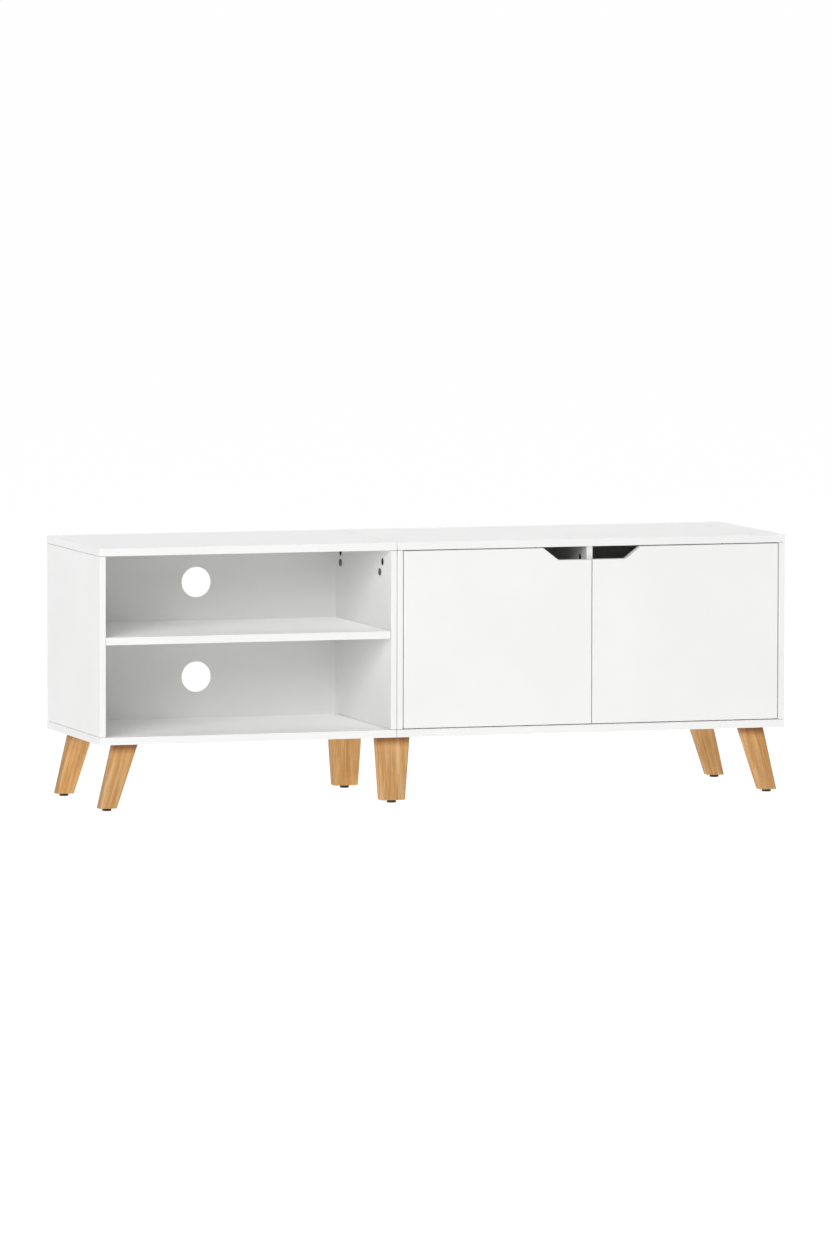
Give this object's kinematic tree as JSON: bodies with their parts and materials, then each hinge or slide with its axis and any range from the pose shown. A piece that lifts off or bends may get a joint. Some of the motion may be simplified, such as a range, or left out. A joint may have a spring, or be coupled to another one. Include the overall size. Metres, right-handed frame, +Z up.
{
  "type": "tv stand",
  "caption": "Low cabinet on splayed wooden legs: open shelf bays beside a closed compartment with inset doors and finger cut-outs.",
  "frame": {"origin": "on the floor, in the middle of the outline seen from above", "axes": "+X to the right along the width, seen from the front; the front faces -Y; +Z up"},
  "size_m": [1.4, 0.38, 0.51],
  "materials": {
    "white_board": "white melamine on particle board, satin",
    "white_hardboard": "white lacquered hardboard, satin",
    "oak_leg": "honey coloured solid wood, satin lacquer",
    "black_glide": "black moulded plastic",
    "nickel_hinge": "nickel plated pressed steel",
    "zinc_fastener": "die-cast zinc and zinc plated steel",
    "plain_steel": "plain steel",
    "beech_dowel": "fluted beech",
    "clear_pad": "clear soft plastic"
  },
  "bodies": {
    "cabinet": {"left_top": "white_board", "left_bottom": "white_board", "left_end_side": "white_board", "left_inner_side": "white_board", "left_shelf": "white_board", "left_back": "white_hardboard", "right_top": "white_board", "right_bottom": "white_board", "right_inner_side": "white_board", "right_end_side": "white_board", "divider": "white_board", "right_back": "white_hardboard", "left_upper_arm": "nickel_hinge", "left_lower_arm": "nickel_hinge", "right_upper_arm": "nickel_hinge", "right_lower_arm": "nickel_hinge", "left_upper_plate": "nickel_hinge", "left_lower_plate": "nickel_hinge", "right_upper_plate": "nickel_hinge", "right_lower_plate": "nickel_hinge", "plate_screws": "zinc_fastener", "arm_screws": "zinc_fastener", "door_stop_pads": "clear_pad", "front_left_leg": "oak_leg", "front_middle_leg": "oak_leg", "front_right_leg": "oak_leg", "rear_left_leg": "oak_leg", "rear_middle_leg": "oak_leg", "rear_right_leg": "oak_leg", "front_left_glide": "black_glide", "front_middle_glide": "black_glide", "front_right_glide": "black_glide", "rear_left_glide": "black_glide", "rear_middle_glide": "black_glide", "rear_right_glide": "black_glide", "glide_nails": "plain_steel", "leg_inserts": "zinc_fastener", "leg_bolts": "plain_steel", "cam_locks": "zinc_fastener", "cam_bolts": "plain_steel", "dowels": "beech_dowel", "base_screws": "zinc_fastener", "connector_bolts": "zinc_fastener", "connector_sleeves": "zinc_fastener"},
    "left_door": {"left_door": "white_board", "left_upper_cup": "nickel_hinge", "left_lower_cup": "nickel_hinge", "left_hinge_pins": "plain_steel", "left_cup_screws": "zinc_fastener"},
    "right_door": {"right_door": "white_board", "right_upper_cup": "nickel_hinge", "right_lower_cup": "nickel_hinge", "right_hinge_pins": "plain_steel", "right_cup_screws": "zinc_fastener"}
  },
  "joints": [
    {"name": "left_door_hinge", "type": "hinge", "parent": "cabinet", "child": "left_door", "pos_m": [-0.07, -0.1828, 0.32], "axis": [0, 0, -1], "range_deg": [0, 95]},
    {"name": "right_door_hinge", "type": "hinge", "parent": "cabinet", "child": "right_door", "pos_m": [0.67, -0.1828, 0.32], "axis": [0, 0, 1], "range_deg": [0, 95]}
  ]
}
